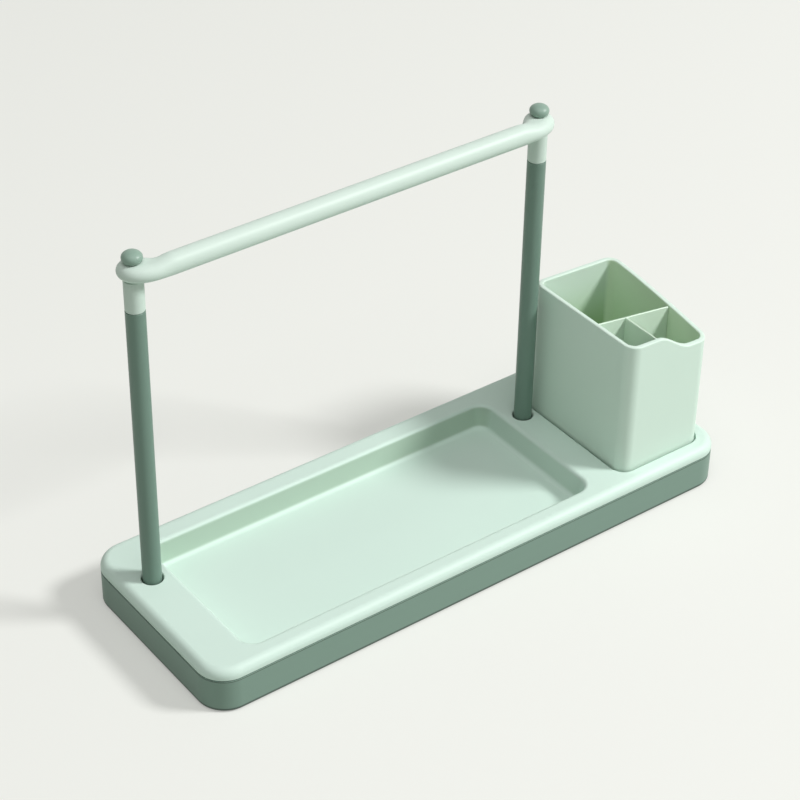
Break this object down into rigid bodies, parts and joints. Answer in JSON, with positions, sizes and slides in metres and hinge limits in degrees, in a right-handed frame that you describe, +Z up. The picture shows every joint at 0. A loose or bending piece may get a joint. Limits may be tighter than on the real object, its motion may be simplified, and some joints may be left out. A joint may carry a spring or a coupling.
{
  "type": "sink drain shelf",
  "caption": "Free-standing drip tray with a shallow basin, a hanging rail on two posts and a divided utensil cup.",
  "frame": {"origin": "on the table, under the middle of the base", "axes": "+X along the rail towards the utensil cup, +Y towards the back where the posts stand, +Z up"},
  "size_m": [0.4, 0.143, 0.2665],
  "materials": {
    "mint_plastic": "satin pale mint plastic",
    "pale_mint_plastic": "satin pale grey-mint plastic",
    "green_plastic": "satin grey-green plastic",
    "green_painted_tube": "dark grey-green paint on a thin tube",
    "dark_rubber": "matte dark rubber",
    "grey_insert": "plain grey moulded plastic",
    "zinc_steel": "bright zinc plated steel"
  },
  "bodies": {
    "base": {"drip_base": "green_plastic", "foot_front_left": "dark_rubber", "foot_front_right": "dark_rubber", "foot_back_left": "dark_rubber", "foot_back_right": "dark_rubber", "left_post": "green_painted_tube", "right_post": "green_painted_tube", "left_post_plug": "grey_insert", "right_post_plug": "grey_insert", "left_post_screw": "zinc_steel", "right_post_screw": "zinc_steel"},
    "tray": {"top_tray": "mint_plastic"},
    "rail": {"hanging_rail": "pale_mint_plastic", "left_collar": "pale_mint_plastic", "right_collar": "pale_mint_plastic", "left_knob": "green_plastic", "right_knob": "green_plastic", "left_knob_stud": "zinc_steel", "right_knob_stud": "zinc_steel"},
    "cup": {"utensil_cup": "mint_plastic"},
    "divider": {"cup_divider": "pale_mint_plastic"}
  },
  "joints": [
    {"name": "tray_lift", "type": "slide", "parent": "base", "child": "tray", "axis": [0, 0, 1], "range_m": [0, 0.215]},
    {"name": "rail_lift", "type": "slide", "parent": "base", "child": "rail", "axis": [0, 0, 1], "range_m": [0, 0.03]},
    {"name": "cup_lift", "type": "slide", "parent": "tray", "child": "cup", "axis": [0, 0, 1], "range_m": [0, 0.1]},
    {"name": "divider_lift", "type": "slide", "parent": "cup", "child": "divider", "axis": [0, 0, 1], "range_m": [0, 0.105]}
  ]
}
